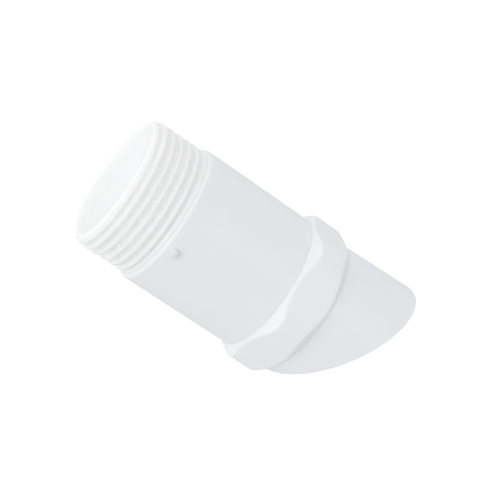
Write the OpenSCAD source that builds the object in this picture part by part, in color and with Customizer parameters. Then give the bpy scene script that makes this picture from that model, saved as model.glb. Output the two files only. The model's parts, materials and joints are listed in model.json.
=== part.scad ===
// Threaded fill spout: a short white plastic fitting for a boat's deck filler or tank.
// The origin is the centre of the open mouth, and +Z points out of it.
// The fitting hangs below its thread, and the long side of the slanted outlet faces +X.
// The halves of the mould meet on the YZ plane, so the pip and a collar corner face -Y.

/* [Thread] */
// Diameter over the thread crests, that of a 1 inch pipe thread
thread_d = 33.4; // [32.6:0.1:34]
// Distance from one crest to the next along the axis
thread_pitch = 2.2; // [2:0.05:2.4]
// Height of the thread ridge above its root
thread_depth = 1.1; // [0.8:0.05:1.3]
// Width of the flat on top of the ridge
crest_w = 0.45; // [0.3:0.05:0.7]
// Length of the cone that trims the thread's crests at the mouth
lead_len = 2.2; // [1:0.1:3]
// Amount by which that cone cuts the crests down at the mouth, on the radius
lead_drop = 1; // [0.5:0.05:1]

/* [Neck] */
// Length of the threaded neck, from the mouth to the shoulder
neck_len = 13.7; // [13.2:0.1:16]
// Bore of the neck
neck_bore_d = 28.6; // [26:0.1:28.8]
// Length of the plain tail that is bonded inside the barrel
tail_len = 14; // [8:0.5:20]
// Depth of the lead-in around the inside of the mouth
mouth_lead = 1.1; // [0.5:0.1:1.5]
// Widening of the bore at the mouth, on the radius
mouth_flare = 0.4; // [0.2:0.05:0.5]
// Length of the cone at the foot of the thread, where it runs out into the shoulder
runout_len = 1.3; // [0.8:0.1:2]
// Widening of that cone at the shoulder, on the radius
runout_rise = 1.05; // [0.3:0.05:1.05]

/* [Barrel] */
// Outside diameter of the plain barrel
barrel_d = 34.8; // [34.6:0.1:35]
// Length of the barrel that shows, from the shoulder to the collar
barrel_len = 30; // [28:0.1:40]
// Bore of the barrel below the neck's tail
barrel_bore_d = 28; // [25:0.1:28.4]
// Bevel around the barrel's shoulder
shoulder_bevel = 0.75; // [0.1:0.05:0.75]

/* [Pip] */
// Diameter of the round locating pip
pip_d = 2.2; // [1.6:0.1:2.4]
// Height of the pip above the barrel
pip_rise = 1.2; // [0.6:0.1:1.2]
// Radius of the pip's domed top
pip_dome_r = 1.5; // [1.5:0.1:3]
// Distance of the pip's centre below the shoulder
pip_drop = 3; // [2:0.1:6]
// Depth of the pip's peg in the barrel wall
pip_peg = 1.2; // [0.8:0.1:1.4]

/* [Collar] */
// Distance across the flats of the six-sided wrench collar
collar_flats = 36; // [35.8:0.1:37]
// Length of the collar along the axis
collar_len = 10.9; // [9:0.1:14]
// Radius of the collar's six rounded corners
corner_r = 7.5; // [3:0.1:9]
// Diameter at which the chamfers at both ends of the collar start
chamfer_d = 35; // [34.9:0.1:35.6]
// Slope of the chamfers, measured from square to the axis
chamfer_angle = 45; // [30:1:50]
// Bore of the collar, and diameter of the two spigots that meet inside it
socket_d = 31.8; // [31.2:0.1:32.4]

/* [Spout] */
// Outside diameter of the spout where it leaves the collar
spout_root_d = 34.6; // [34:0.1:34.8]
// Outside diameter of the spout at its tip
spout_tip_d = 36; // [35:0.1:36.5]
// Bore of the spout
spout_bore_d = 31.2; // [30:0.1:32]
// Distance along the axis from the mouth to the middle of the slanted cut
cut_middle = 65.1; // [64:0.1:75]
// Slant of the cut, measured from square to the axis
cut_angle = 30; // [20:1:30]

/* [Hidden] */
$fn = 96;

// How far a cutting tool reaches past the face that it opens
eps = 0.2;
crest_r = thread_d / 2;
root_r = crest_r - thread_depth;
shoulder_z = -neck_len;
tail_z = shoulder_z - tail_len;
collar_top_z = shoulder_z - barrel_len;
collar_bottom_z = collar_top_z - collar_len;
meeting_z = (collar_top_z + collar_bottom_z) / 2;
// The turned profile reaches past the hexagon's corners
chamfer_reach = 3;
chamfer_rise = (collar_flats / 2 + chamfer_reach - chamfer_d / 2) * tan(chamfer_angle);

// Thread: the ridge is a chain of short wedges that climbs from the shoulder to the mouth
steps_per_turn = 48;
// Turns of the ridge that start behind the shoulder, so that it comes out of it gradually
buried_turns = 0.5;
// Turns from the shoulder until the ridge has run out past the mouth
thread_turns = neck_len / thread_pitch + 0.5;
thread_steps = ceil((buried_turns + thread_turns) * steps_per_turn);
// Angle where the middle of the ridge comes out of the shoulder
thread_start_angle = -37;
// Depth that the ridge is sunk into the neck
ridge_sink = 0.15;
// Width of the bare root between neighbouring turns
root_gap = 0.2;
flank_slope = (thread_pitch - root_gap - crest_w) / 2 / (thread_depth + ridge_sink);

// Spout: bore widens over a short cone just below the collar
spout_cone_len = 1.2;
cut_reach = tan(cut_angle) * spout_tip_d / 2;
spout_tip_z = -(cut_middle + cut_reach);

colour_body = [0.93, 0.94, 0.94];
colour_collar = [0.95, 0.95, 0.95];
colour_spout = [0.92, 0.93, 0.93];

// Corners of the ridge's cross-section at step i: bottom root, bottom crest, top crest, top root
function ridge_corners(i) =
    let (
        turn = i / steps_per_turn - buried_turns,
        angle = thread_start_angle + turn * 360,
        middle_z = shoulder_z + turn * thread_pitch,
        half_crest = crest_w / 2,
        half_root = half_crest + (thread_depth + ridge_sink) * flank_slope,
        section = [
            [root_r - ridge_sink, middle_z - half_root],
            [crest_r, middle_z - half_crest],
            [crest_r, middle_z + half_crest],
            [root_r - ridge_sink, middle_z + half_root]
        ]
    )
    [for (p = section) [p[0] * cos(angle), p[0] * sin(angle), p[1]]];

module thread_ridge() {
    points = [for (i = [0 : thread_steps]) each ridge_corners(i)];
    last = 4 * thread_steps;
    faces = concat(
        [[3, 2, 1, 0]],
        [for (i = [0 : thread_steps - 1], k = [0 : 3], half = [0, 1])
            let (a = 4 * i + k, b = 4 * i + (k + 1) % 4)
            half == 0 ? [a, b + 4, a + 4] : [a, b, b + 4]],
        [[last, last + 1, last + 2, last + 3]]
    );
    polyhedron(points = points, faces = faces);
}

module threaded_neck() {
    color(colour_body)
        union() {
            rotate_extrude()
                polygon([
                    [neck_bore_d / 2, tail_z],
                    [root_r, tail_z],
                    [root_r, shoulder_z],
                    [root_r + runout_rise, shoulder_z],
                    [root_r, shoulder_z + runout_len],
                    [root_r, 0],
                    [neck_bore_d / 2 + mouth_flare, 0],
                    [neck_bore_d / 2, -mouth_lead]
                ]);
            // The ridge ends where it meets the shoulder, and under the lead-in cone at the mouth
            intersection() {
                thread_ridge();
                rotate_extrude()
                    polygon([
                        [root_r - thread_depth, shoulder_z],
                        [crest_r + lead_drop, shoulder_z],
                        [crest_r + lead_drop, -2 * lead_len],
                        [crest_r - lead_drop, 0],
                        [root_r - thread_depth, 0]
                    ]);
            }
        }
}

module barrel() {
    color(colour_body)
        difference() {
            rotate_extrude()
                polygon([
                    [barrel_bore_d / 2, meeting_z],
                    [socket_d / 2, meeting_z],
                    [socket_d / 2, collar_top_z],
                    [barrel_d / 2, collar_top_z],
                    [barrel_d / 2, shoulder_z - shoulder_bevel],
                    [barrel_d / 2 - shoulder_bevel, shoulder_z],
                    [root_r, shoulder_z],
                    [root_r, tail_z],
                    [barrel_bore_d / 2, tail_z]
                ]);
            pip_peg_solid(pip_rise + eps);
        }
}

// Round peg that stands out of the barrel towards -Y
module pip_peg_solid(rise) {
    translate([0, -(barrel_d / 2 - pip_peg), shoulder_z - pip_drop])
        rotate([90, 0, 0])
            cylinder(d = pip_d, h = pip_peg + rise);
}

module locating_pip() {
    color(colour_body)
        intersection() {
            pip_peg_solid(pip_rise);
            translate([0, -(barrel_d / 2 + pip_rise - pip_dome_r), shoulder_z - pip_drop])
                sphere(r = pip_dome_r);
        }
}

// Six-sided outline with round corners and flats facing +X and -X
module rounded_hexagon(flats, round_r) {
    corner_reach = (flats / 2 - round_r) / cos(30);
    centres = [for (k = [0 : 5]) corner_reach * [cos(30 + 60 * k), sin(30 + 60 * k)]];
    for (c = centres)
        translate(c) circle(r = round_r);
    polygon([
        for (k = [0 : 5], side = [-30, 30])
            centres[k] + round_r * [cos(30 + 60 * k + side), sin(30 + 60 * k + side)]
    ]);
}

// Hexagon with both ends turned down to cones, so its corners are shorter than its flats
module hex_collar() {
    color(colour_collar)
        intersection() {
            translate([0, 0, collar_bottom_z - eps])
                linear_extrude(height = collar_len + 2 * eps)
                    rounded_hexagon(collar_flats, corner_r);
            rotate_extrude()
                polygon([
                    [socket_d / 2, collar_bottom_z],
                    [chamfer_d / 2, collar_bottom_z],
                    [collar_flats / 2 + chamfer_reach, collar_bottom_z + chamfer_rise],
                    [collar_flats / 2 + chamfer_reach, collar_top_z - chamfer_rise],
                    [chamfer_d / 2, collar_top_z],
                    [socket_d / 2, collar_top_z]
                ]);
        }
}

module bevel_spout() {
    color(colour_spout)
        difference() {
            rotate_extrude()
                polygon([
                    [barrel_bore_d / 2, meeting_z],
                    [socket_d / 2, meeting_z],
                    [socket_d / 2, collar_bottom_z],
                    [spout_root_d / 2, collar_bottom_z],
                    [spout_tip_d / 2, spout_tip_z],
                    [spout_bore_d / 2, spout_tip_z],
                    [spout_bore_d / 2, collar_bottom_z - spout_cone_len],
                    [barrel_bore_d / 2, collar_bottom_z]
                ]);
            // Everything beyond the slanted cut, which is longest towards +X
            translate([0, 0, -cut_middle])
                rotate([0, cut_angle, 0])
                    translate([-spout_tip_d, -spout_tip_d, -spout_tip_d])
                        cube([2 * spout_tip_d, 2 * spout_tip_d, spout_tip_d]);
        }
}

threaded_neck();
barrel();
locating_pip();
hex_collar();
bevel_spout();
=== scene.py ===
import json
import math

import bpy
from mathutils import Matrix, Vector


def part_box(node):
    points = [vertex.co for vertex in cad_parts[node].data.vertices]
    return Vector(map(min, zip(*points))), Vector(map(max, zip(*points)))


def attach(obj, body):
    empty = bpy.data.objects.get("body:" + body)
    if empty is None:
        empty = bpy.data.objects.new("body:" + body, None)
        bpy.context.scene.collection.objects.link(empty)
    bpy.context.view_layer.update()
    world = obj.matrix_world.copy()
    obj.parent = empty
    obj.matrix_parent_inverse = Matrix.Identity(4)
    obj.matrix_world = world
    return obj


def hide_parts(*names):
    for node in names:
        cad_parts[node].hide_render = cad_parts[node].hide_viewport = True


# Looks of the threaded fill spout. Lengths are in metres, MM turns millimetres into metres,
# and angles are in degrees about +Z from +X unless a name says otherwise.

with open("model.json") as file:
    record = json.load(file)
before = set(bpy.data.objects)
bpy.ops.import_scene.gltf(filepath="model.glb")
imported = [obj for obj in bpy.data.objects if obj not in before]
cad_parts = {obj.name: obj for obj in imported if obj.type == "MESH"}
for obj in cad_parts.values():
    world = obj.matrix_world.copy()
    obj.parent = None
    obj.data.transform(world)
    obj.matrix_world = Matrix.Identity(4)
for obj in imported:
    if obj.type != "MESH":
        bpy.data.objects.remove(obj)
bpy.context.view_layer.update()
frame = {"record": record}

MM = 0.001
BODY = "root"

# ---- What the frame says -------------------------------------------------------------------
neck_low, neck_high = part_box("threaded_neck")
barrel_low, barrel_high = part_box("barrel")
pip_low, pip_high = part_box("locating_pip")
collar_low, collar_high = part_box("hex_collar")
spout_low, spout_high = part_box("bevel_spout")

mouth_z = neck_high.z
tail_z = neck_low.z
shoulder_z = barrel_high.z
collar_top_z = collar_high.z
collar_bottom_z = collar_low.z
meeting_z = barrel_low.z
tip_z = spout_low.z

crest_r = neck_high.x
barrel_r = barrel_high.x
flat_r = collar_high.x
corner_reach = collar_high.y
spout_tip_r = spout_high.x
mounts = {m["name"]: m for m in frame["record"]["mounts"]}
bore_r = mounts["mouth_bore"]["dims"]["r_mm"] * MM

# ---- Thread ------------------------------------------------------------------------------
thread_pitch = 2.2 * MM
thread_depth = 1.1 * MM
root_r = crest_r - thread_depth
# Half the width of the ridge's flat top, and of the whole ridge at its foot
crest_half = 0.2 * MM
ridge_half = 1.0 * MM
# The ridge leaves the shoulder at this angle, and starts this many turns behind it
thread_start_angle = -37
buried_turns = 0.5
# Cone that cuts the crests down at the mouth
lead_len = 2.2 * MM
lead_drop = 1.0 * MM
# Cone at the thread's foot, which widens into the shoulder
runout_len = 1.3 * MM
runout_rise = 1.05 * MM

# ---- Neck and barrel -----------------------------------------------------------------------
mouth_lead = 1.1 * MM
mouth_flare = 0.4 * MM
inner_bore_r = 14 * MM
shoulder_bevel = 0.75 * MM
shoulder_round = 0.8 * MM
# Low ridge that the mould's parting plane leaves along the barrel
parting_rise = 0.012 * MM
parting_half = 0.25 * MM

# ---- Pip -----------------------------------------------------------------------------------
dome_r = 1.5 * MM
pip_edge = 0.1 * MM
pip_foot_share = 0.98

# ---- Collar and spout ----------------------------------------------------------------------
spigot_r = 15.9 * MM
chamfer_r = 17.42 * MM
chamfer_blend = 0.35 * MM
spout_root_r = 17.3 * MM
spout_bore_r = 15.6 * MM
spout_cone = 1.2 * MM
spout_lip = 0.25 * MM
cut_angle = 30

# ---- Rounding of edges -----------------------------------------------------------------------
edge_r = 0.3 * MM
joint_r = 0.05 * MM
sharp_r = 0.02 * MM
ledge_bevel = 0.1 * MM
# Keeps faces of two pieces out of one plane, and is the slack for finding points on a face
hair = 0.01 * MM

# ---- Mesh density ---------------------------------------------------------------------------
COLUMNS = 288
WALL_ROW = 2 * MM
THREAD_ROW = 0.1 * MM
ROUND_STEPS = 5
CHAMFER_ROWS = 5
SIDE_ROWS = 10
SPOUT_ROWS = 28
PIP_COLUMNS = 48


def polar(radius, angle, z):
    """Point at that radius and angle about the axis."""
    a = math.radians(angle)
    return (radius * math.cos(a), radius * math.sin(a), z)


def smooth(x):
    """Soft step from 0 to 1 as x goes from 0 to 1."""
    x = max(0.0, min(1.0, x))
    return x * x * (3 - 2 * x)


def add_mesh(name, points, faces):
    """New smooth-shaded mesh object."""
    mesh = bpy.data.meshes.new(name)
    mesh.from_pydata(points, [], faces)
    mesh.validate()
    mesh.shade_smooth()
    piece = bpy.data.objects.new(name, mesh)
    bpy.context.scene.collection.objects.link(piece)
    return piece


def closed_ring(name, columns):
    """Ring whose cross-sections, one list of points per column, each close on themselves."""
    count = len(columns)
    size = len(columns[0])
    points = [p for column in columns for p in column]
    faces = []
    for i in range(count):
        here = i * size
        there = (i + 1) % count * size
        for k in range(size):
            after = (k + 1) % size
            faces.append((here + k, there + k, there + after, here + after))
    return add_mesh(name, points, faces)


def straight(start, end, step):
    """Points from start up to but not including end, no further apart than step."""
    length = math.dist(start, end)
    count = max(1, math.ceil(length / step))
    return [
        tuple(s + (e - s) * k / count for s, e in zip(start, end)) for k in range(count)
    ]


def corner_arc(corner, back, ahead, run):
    """Points that round a corner, starting at that run back from it and ending as far ahead."""
    half = back.angle(ahead) / 2
    radius = run * math.tan(half)
    start = corner + back * run
    end = corner + ahead * run
    centre = corner + (back + ahead).normalized() * (run / math.cos(half))
    points = []
    for k in range(ROUND_STEPS + 1):
        spoke = (start - centre).lerp(end - centre, k / ROUND_STEPS)
        points.append(tuple(centre + spoke.normalized() * radius))
    return points


def rounded_section(corners, row=WALL_ROW):
    """Closed (radius, z) outline: corners are (radius, z, rounding), joined by subdivided lines."""
    arcs = []
    total = len(corners)
    for i, (r, z, rounding) in enumerate(corners):
        here = Vector((r, z))
        back = (Vector(corners[i - 1][:2]) - here).normalized()
        ahead = (Vector(corners[(i + 1) % total][:2]) - here).normalized()
        run = rounding / math.tan(back.angle(ahead) / 2)
        arcs.append(corner_arc(here, back, ahead, run))
    section = []
    # Rows this close to each arc keep the smooth shading of the straight parts flat
    support = 0.08 * MM
    for i, arc in enumerate(arcs):
        section += arc
        start = Vector(arc[-1])
        end = Vector(arcs[(i + 1) % total][0])
        if (end - start).length > 4 * support:
            along = (end - start).normalized() * support
            section += straight(tuple(start + along), tuple(end - along), row)
            section.append(tuple(end - along))
    return section


# ---- Threaded neck ---------------------------------------------------------------------------
def ridge_rise(angle, z):
    """Height of the thread above its root at that angle and height."""
    turned = (angle - thread_start_angle) % 360 / 360
    turns_up = (z - shoulder_z) / thread_pitch - turned
    nearest = round(turns_up)
    along = nearest + turned
    if along < -buried_turns:
        return 0.0
    away = abs(turns_up - nearest) * thread_pitch
    flank = smooth((away - crest_half) / (ridge_half - crest_half))
    lead = thread_depth - lead_drop + (mouth_z - z) * lead_drop / lead_len
    return min(thread_depth * (1 - flank), lead)


def foot_rise(z):
    """Height above the root of the cone at the thread's foot, where it meets the shoulder."""
    return runout_rise * max(0.0, 1 - (z - shoulder_z) / runout_len)


def make_neck():
    """Tube whose outer wall is raised into the thread above the shoulder, with a plain tail below."""
    section = rounded_section(
        [
            (bore_r, tail_z, edge_r / 2),
            (root_r, tail_z, edge_r / 2),
            (root_r, mouth_z, edge_r),
            (bore_r + mouth_flare, mouth_z, edge_r),
            (bore_r, mouth_z - mouth_lead, edge_r),
        ],
        THREAD_ROW,
    )
    columns = []
    for i in range(COLUMNS):
        angle = 360 * i / COLUMNS
        column = []
        for r, z in section:
            outside = r > root_r - edge_r and z > shoulder_z
            rise = max(ridge_rise(angle, z), foot_rise(z)) if outside else 0.0
            column.append(polar(r + rise, angle, z))
        columns.append(column)
    return closed_ring("neck_moulding", columns)


# ---- Barrel ------------------------------------------------------------------------------------
def parting_bump(angle):
    """Rise of the parting line, which lies on the YZ plane, at that angle."""
    away = abs(angle % 180 - 90)
    distance = math.radians(away) * barrel_r
    return parting_rise * (1 - smooth(distance / parting_half))


def make_barrel():
    """Plain tube with a spigot for the collar below and a socket for the neck's tail above."""
    section = rounded_section(
        [
            (inner_bore_r, meeting_z, edge_r / 2),
            (spigot_r, meeting_z, edge_r / 2),
            (spigot_r, collar_top_z, sharp_r),
            (barrel_r, collar_top_z, joint_r),
            (barrel_r, shoulder_z - shoulder_bevel, shoulder_round),
            (barrel_r - shoulder_bevel, shoulder_z, sharp_r),
            (root_r, shoulder_z, joint_r),
            (root_r, tail_z, joint_r),
            (inner_bore_r, tail_z, edge_r),
        ]
    )
    angles = [360 * i / COLUMNS for i in range(COLUMNS)]
    # Extra columns give the parting line its shape
    for side in (90, 270):
        for share in (-1, -0.5, 0.5, 1):
            angles.append(side + math.degrees(share * parting_half / barrel_r))
    columns = []
    for angle in sorted(angles):
        bump = parting_bump(angle)
        column = []
        for r, z in section:
            outside = r > barrel_r - hair and z < shoulder_z - 2 * shoulder_bevel
            column.append(polar(r + bump if outside else r, angle, z))
        columns.append(column)
    return closed_ring("barrel_moulding", columns)


# ---- Locating pip ------------------------------------------------------------------------------
def make_pip():
    """Short round stud towards -Y, with a domed top and a foot hidden in the barrel's wall."""
    radius = (pip_high.x - pip_low.x) / 2
    centre_x = (pip_high.x + pip_low.x) / 2
    centre_z = (pip_high.z + pip_low.z) / 2
    top_y = pip_low.y
    foot_y = pip_high.y
    edge_y = top_y + dome_r - math.sqrt(dome_r**2 - radius**2)
    rings = [(radius * pip_foot_share, foot_y)]
    for k in range(1, ROUND_STEPS + 1):
        rings.append((radius, foot_y + (edge_y + pip_edge - foot_y) * k / ROUND_STEPS))
    slope = math.asin(radius / dome_r)
    for k in range(2 * ROUND_STEPS):
        a = slope * (1 - (k + 1) / (2 * ROUND_STEPS + 1))
        rings.append((dome_r * math.sin(a), top_y + dome_r * (1 - math.cos(a))))
    points = []
    for ring_r, y in rings:
        for i in range(PIP_COLUMNS):
            a = math.radians(360 * i / PIP_COLUMNS)
            points.append((centre_x + ring_r * math.cos(a), y, centre_z + ring_r * math.sin(a)))
    faces = []
    for k in range(len(rings) - 1):
        here = k * PIP_COLUMNS
        there = here + PIP_COLUMNS
        for i in range(PIP_COLUMNS):
            j = (i + 1) % PIP_COLUMNS
            faces.append((here + i, here + j, there + j, there + i))
    last = (len(rings) - 1) * PIP_COLUMNS
    faces.append(tuple(reversed(range(PIP_COLUMNS))))
    faces.append(tuple(range(last, last + PIP_COLUMNS)))
    return add_mesh("pip_moulding", points, faces)


# ---- Hexagonal collar -----------------------------------------------------------------------------
# The corner's rounding follows from how far it reaches, compared with a sharp corner
sharp_share = 1 / math.cos(math.radians(30))
corner_round = (flat_r * sharp_share - corner_reach) / (sharp_share - 1)


def hexagon_radius(angle):
    """Distance from the axis to the collar's round-cornered outline at that angle."""
    from_flat = (angle + 30) % 60 - 30
    centre = (flat_r - corner_round) * sharp_share
    straight_half = math.degrees(math.atan2(centre / 2, flat_r))
    if abs(from_flat) <= straight_half:
        return flat_r / math.cos(math.radians(from_flat))
    off = math.radians(30 - abs(from_flat))
    return centre * math.cos(off) + math.sqrt(corner_round**2 - (centre * math.sin(off)) ** 2)


def chamfered_side(angle):
    """Outline of one side of the collar at that angle, from its top edge to its bottom edge."""
    reach = hexagon_radius(angle)
    top_corner = Vector((reach, collar_top_z - (reach - chamfer_r)))
    bottom_corner = Vector((reach, collar_bottom_z + (reach - chamfer_r)))
    top_edge = Vector((chamfer_r, collar_top_z))
    bottom_edge = Vector((chamfer_r, collar_bottom_z))
    up = Vector((0, 1))
    width = (top_corner - top_edge).length
    # The blend takes less than half of the chamfer, which is narrow at the middle of a flat
    blend = min(chamfer_blend, 0.45 * width)
    outline = []
    for k in range(CHAMFER_ROWS):
        outline.append(top_edge.lerp(top_corner, k / CHAMFER_ROWS * (1 - blend / width)))
    outline += corner_arc(top_corner, (top_edge - top_corner).normalized(), -up, blend)
    start, end = outline[-1], bottom_corner + up * blend
    for k in range(1, SIDE_ROWS):
        outline.append(Vector(start).lerp(end, k / SIDE_ROWS))
    outline += corner_arc(bottom_corner, up, (bottom_edge - bottom_corner).normalized(), blend)
    for k in reversed(range(CHAMFER_ROWS)):
        outline.append(bottom_edge.lerp(bottom_corner, k / CHAMFER_ROWS * (1 - blend / width)))
    return outline


def make_collar():
    """Hexagon with both ends turned down to cones, and a bore that takes the two spigots."""
    columns = []
    for i in range(COLUMNS):
        angle = 360 * i / COLUMNS
        column = [polar(spigot_r, angle, collar_bottom_z), polar(spigot_r, angle, collar_top_z)]
        column += [polar(r, angle, z) for r, z in chamfered_side(angle)]
        columns.append(column)
    return closed_ring("collar_moulding", columns)


# ---- Slant-cut spout ---------------------------------------------------------------------------------
cut_slope = math.tan(math.radians(cut_angle))
flare = (spout_tip_r - spout_root_r) / (collar_bottom_z - tip_z)
cut_middle_z = tip_z + cut_slope * spout_tip_r


def cut_end(radius, taper, angle):
    """Height at which a wall of that radius at the collar, with that taper, meets the cut."""
    c = math.cos(math.radians(angle)) * cut_slope
    return (cut_middle_z - c * (radius + taper * collar_bottom_z)) / (1 - c * taper)


def make_spout():
    """Flared tube with rounded lips at its slanted end, and a spigot that goes into the collar."""
    columns = []
    # The walls' last rows stay this far above the cut, clear of the rounded lips
    lip_row = 1.3 * spout_lip
    for i in range(COLUMNS):
        angle = 360 * i / COLUMNS
        outer_end = cut_end(spout_root_r, flare, angle)
        inner_end = cut_end(spout_bore_r, 0, angle)
        outer_end_r = spout_root_r + flare * (collar_bottom_z - outer_end)
        column = [
            polar(inner_bore_r, angle, meeting_z),
            polar(spigot_r, angle, meeting_z),
            polar(spigot_r, angle, collar_bottom_z - hair),
            polar(spout_root_r - ledge_bevel, angle, collar_bottom_z - hair),
        ]
        wall_top = collar_bottom_z - ledge_bevel
        wall_end = outer_end + lip_row
        for k in range(SPOUT_ROWS + 1):
            z = wall_top + (wall_end - wall_top) * k / SPOUT_ROWS
            column.append(polar(spout_root_r + flare * (collar_bottom_z - z), angle, z))
        outer_corner = Vector((outer_end_r, outer_end))
        inner_corner = Vector((spout_bore_r, inner_end))
        across = (inner_corner - outer_corner).normalized()
        up = Vector((0, 1))
        end_face = corner_arc(outer_corner, up, across, spout_lip)
        end_face += [outer_corner.lerp(inner_corner, share) for share in (0.35, 0.65)]
        end_face += corner_arc(inner_corner, -across, up, spout_lip)
        column += [polar(r, angle, z) for r, z in end_face]
        inner_top = collar_bottom_z - spout_cone
        inner_low = min(inner_end + lip_row, inner_top - hair)
        for k in range(SPOUT_ROWS + 1):
            z = inner_low + (inner_top - inner_low) * k / SPOUT_ROWS
            column.append(polar(spout_bore_r, angle, z))
        column.append(polar(inner_bore_r, angle, collar_bottom_z))
        columns.append(column)
    return closed_ring("spout_moulding", columns)


# ---- Materials ------------------------------------------------------------------------------------------
def add_noise(tree, place, scale, detail):
    """Height of a noise whose scale counts cells per metre."""
    noise = tree.nodes.new("ShaderNodeTexNoise")
    noise.inputs["Scale"].default_value = scale
    noise.inputs["Detail"].default_value = detail
    tree.links.new(place.outputs["Vector"], noise.inputs["Vector"])
    return noise.outputs["Fac"]


def add_bump(tree, height, strength, distance):
    """Bump node for that height."""
    bump = tree.nodes.new("ShaderNodeBump")
    bump.inputs["Strength"].default_value = strength
    bump.inputs["Distance"].default_value = distance
    tree.links.new(height, bump.inputs["Height"])
    return bump


def white_plastic(name, colour, roughness, seed):
    """Moulded white plastic: faint clouding, fine mould texture and soft scatter under the skin."""
    material = bpy.data.materials.new(name)
    material.use_nodes = True
    tree = material.node_tree
    nodes, links = tree.nodes, tree.links
    shader = nodes["Principled BSDF"]
    shader.inputs["IOR"].default_value = 1.49
    shader.inputs["Subsurface Weight"].default_value = 0.2
    shader.inputs["Subsurface Radius"].default_value = (1.0, 0.97, 0.94)
    shader.inputs["Subsurface Scale"].default_value = 0.5 * MM
    place = nodes.new("ShaderNodeTexCoord")
    shift = nodes.new("ShaderNodeMapping")
    shift.inputs["Location"].default_value = (seed, seed * 0.7, seed * 0.3)
    links.new(place.outputs["Object"], shift.inputs["Vector"])

    clouds = add_noise(tree, shift, 60, 3)
    tint = nodes.new("ShaderNodeValToRGB")
    darker, lighter = tint.color_ramp.elements
    darker.position = 0.3
    lighter.position = 0.7
    darker.color = (*(0.988 * c for c in colour), 1)
    lighter.color = (*colour, 1)
    links.new(clouds, tint.inputs["Fac"])
    links.new(tint.outputs["Color"], shader.inputs["Base Color"])

    wear = add_noise(tree, shift, 350, 4)
    gloss = nodes.new("ShaderNodeMapRange")
    gloss.inputs["To Min"].default_value = roughness - 0.03
    gloss.inputs["To Max"].default_value = roughness + 0.03
    links.new(wear, gloss.inputs["Value"])
    links.new(gloss.outputs["Result"], shader.inputs["Roughness"])

    peel = add_bump(tree, add_noise(tree, shift, 900, 2), 0.15, 0.01 * MM)
    grain = add_bump(tree, add_noise(tree, shift, 6000, 1), 0.2, 0.004 * MM)
    links.new(peel.outputs["Normal"], grain.inputs["Normal"])
    links.new(grain.outputs["Normal"], shader.inputs["Normal"])
    return material


def let_light_through(material, low, high, reach):
    """Thin wall: light spreads that far inside it above the high level, and not at the low one."""
    tree = material.node_tree
    shader = tree.nodes["Principled BSDF"]
    shader.inputs["Subsurface Scale"].default_value = reach
    place = tree.nodes.new("ShaderNodeTexCoord")
    parts = tree.nodes.new("ShaderNodeSeparateXYZ")
    share = tree.nodes.new("ShaderNodeMapRange")
    share.inputs["From Min"].default_value = low
    share.inputs["From Max"].default_value = high
    share.inputs["To Max"].default_value = 0.9
    tree.links.new(place.outputs["Object"], parts.inputs["Vector"])
    tree.links.new(parts.outputs["Z"], share.inputs["Value"])
    tree.links.new(share.outputs["Result"], shader.inputs["Subsurface Weight"])


def finish_piece(piece, node, material):
    """Give the piece its material, and let it stand for that CAD node."""
    piece.data.materials.append(material)
    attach(piece, BODY)
    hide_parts(node)


neck_white = white_plastic("neck_white", (0.955, 0.966, 0.968), 0.32, 8.3)
let_light_through(neck_white, shoulder_z + 1 * MM, shoulder_z + 6 * MM, 1.4 * MM)
body_white = white_plastic("body_white", (0.912, 0.922, 0.955), 0.33, 0.0)
# The pip is duller than the barrel, and its base colour is darker: painted shade for the pip's shaded side
# and the shadow it casts
pip_painted_shade = white_plastic("pip_painted_shade", (0.82, 0.83, 0.858), 0.45, 0.0)
collar_white = white_plastic("collar_white", (0.925, 0.934, 0.967), 0.33, 3.1)
spout_white = white_plastic("spout_white", (0.908, 0.917, 0.95), 0.33, 5.7)

finish_piece(make_neck(), "threaded_neck", neck_white)
finish_piece(make_barrel(), "barrel", body_white)
finish_piece(make_pip(), "locating_pip", pip_painted_shade)
finish_piece(make_collar(), "hex_collar", collar_white)
finish_piece(make_spout(), "bevel_spout", spout_white)

# ---- Floor, light and camera -----------------------------------------------------------------------------
floor_drop = 45 * MM
floor_r = 3.0
FLOOR_CORNERS = 64
softbox_distance = 0.6


def make_floor():
    """Plain pale floor, well below the hanging spout, which throws no light on it."""
    z = tip_z - floor_drop
    points = [polar(floor_r, 360 * i / FLOOR_CORNERS, z) for i in range(FLOOR_CORNERS)]
    floor = add_mesh("floor", points, [tuple(range(FLOOR_CORNERS))])
    material = bpy.data.materials.new("floor_white")
    material.use_nodes = True
    shader = material.node_tree.nodes["Principled BSDF"]
    shader.inputs["Base Color"].default_value = (0.95, 0.95, 0.95, 1)
    shader.inputs["Roughness"].default_value = 0.9
    shader.inputs["Emission Color"].default_value = (1, 1, 1, 1)
    shader.inputs["Emission Strength"].default_value = 0.3
    floor.data.materials.append(material)
    floor.visible_diffuse = False
    floor.visible_glossy = False
    floor.visible_shadow = False


def make_softbox(name, azimuth, elevation, size, power):
    """Square soft box at that angle about the part, facing its middle."""
    lamp = bpy.data.lights.new(name, "AREA")
    lamp.shape = "SQUARE"
    lamp.size = size
    lamp.energy = power
    light = bpy.data.objects.new(name, lamp)
    aim = Vector((0, 0, (mouth_z + tip_z) / 2))
    level = math.radians(elevation)
    away = Vector(polar(math.cos(level), azimuth, math.sin(level)))
    light.location = aim + away * softbox_distance
    light.rotation_euler = (-away).to_track_quat("-Z", "Y").to_euler()
    bpy.context.scene.collection.objects.link(light)


def make_bore_light(depth, width, power):
    """Round light inside the bore that the camera can't see, for what comes up from the outlet."""
    lamp = bpy.data.lights.new("bore_light", "AREA")
    lamp.shape = "DISK"
    lamp.size = width
    lamp.energy = power
    light = bpy.data.objects.new("bore_light", lamp)
    light.location = (0, 0, mouth_z - depth)
    light.rotation_euler = (math.pi, 0, 0)
    light.visible_camera = False
    bpy.context.scene.collection.objects.link(light)


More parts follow.
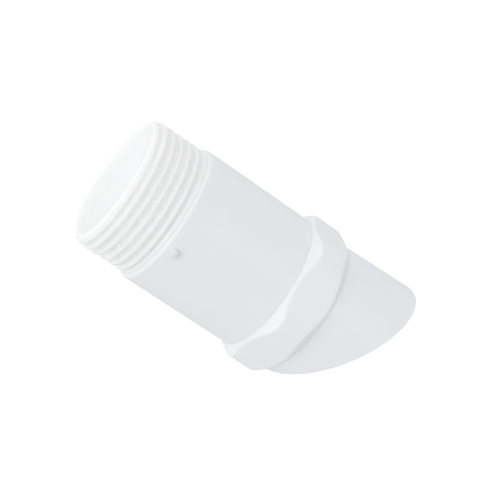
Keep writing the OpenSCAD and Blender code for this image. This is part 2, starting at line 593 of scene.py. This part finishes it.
def make_world(side, slope, backdrop):
    """White surroundings, brighter overhead than below; the camera sees an even backdrop behind."""
    world = bpy.data.worlds.new("studio")
    world.use_nodes = True
    nodes, links = world.node_tree.nodes, world.node_tree.links
    surroundings = nodes["Background"]
    surroundings.inputs["Color"].default_value = (1, 1, 1, 1)
    direction = nodes.new("ShaderNodeTexCoord")
    parts = nodes.new("ShaderNodeSeparateXYZ")
    links.new(direction.outputs["Generated"], parts.inputs["Vector"])
    brightness = nodes.new("ShaderNodeMapRange")
    brightness.inputs["From Min"].default_value = -1
    brightness.inputs["From Max"].default_value = 1
    brightness.inputs["To Min"].default_value = side - slope
    brightness.inputs["To Max"].default_value = side + slope
    links.new(parts.outputs["Z"], brightness.inputs["Value"])
    links.new(brightness.outputs["Result"], surroundings.inputs["Strength"])
    behind = nodes.new("ShaderNodeBackground")
    behind.inputs["Color"].default_value = (1, 1, 1, 1)
    behind.inputs["Strength"].default_value = backdrop
    path = nodes.new("ShaderNodeLightPath")
    choose = nodes.new("ShaderNodeMixShader")
    links.new(path.outputs["Is Camera Ray"], choose.inputs["Fac"])
    links.new(surroundings.outputs["Background"], choose.inputs[1])
    links.new(behind.outputs["Background"], choose.inputs[2])
    links.new(choose.outputs["Shader"], nodes["World Output"].inputs["Surface"])
    bpy.context.scene.world = world


def make_camera(azimuth, elevation, distance, roll, lens, aim):
    """Camera at that angle about +Z and above the horizon, turned about its own line of sight."""
    level = math.radians(elevation)
    back = Vector(polar(math.cos(level), azimuth, math.sin(level)))
    camera_data = bpy.data.cameras.new("camera")
    camera_data.lens = lens
    camera_data.sensor_width = 36
    camera_data.clip_start = 0.01
    camera = bpy.data.objects.new("camera", camera_data)
    place = Matrix.Translation(aim + back * distance)
    face = back.to_track_quat("Z", "Y").to_matrix().to_4x4()
    turn = Matrix.Rotation(math.radians(roll), 4, "Z")
    camera.matrix_world = place @ face @ turn
    bpy.context.scene.collection.objects.link(camera)
    bpy.context.scene.camera = camera


make_floor()
make_world(side=0.803, slope=0.245, backdrop=1.05)
make_softbox("key_softbox", azimuth=-108, elevation=54, size=0.22, power=0.26)
make_softbox("right_softbox", azimuth=-46, elevation=-19, size=0.18, power=0.1)
make_softbox("edge_softbox", azimuth=40, elevation=-15, size=0.18, power=0.04)
make_bore_light(depth=24 * MM, width=24 * MM, power=0.0015)
make_camera(
    azimuth=-70,
    elevation=19.1,
    distance=354.5 * MM,
    roll=-55.92,
    lens=109.26,
    aim=Vector((3.67, 1.34, -36.42)) * MM,
)
bpy.context.scene.view_settings.view_transform = "Standard"
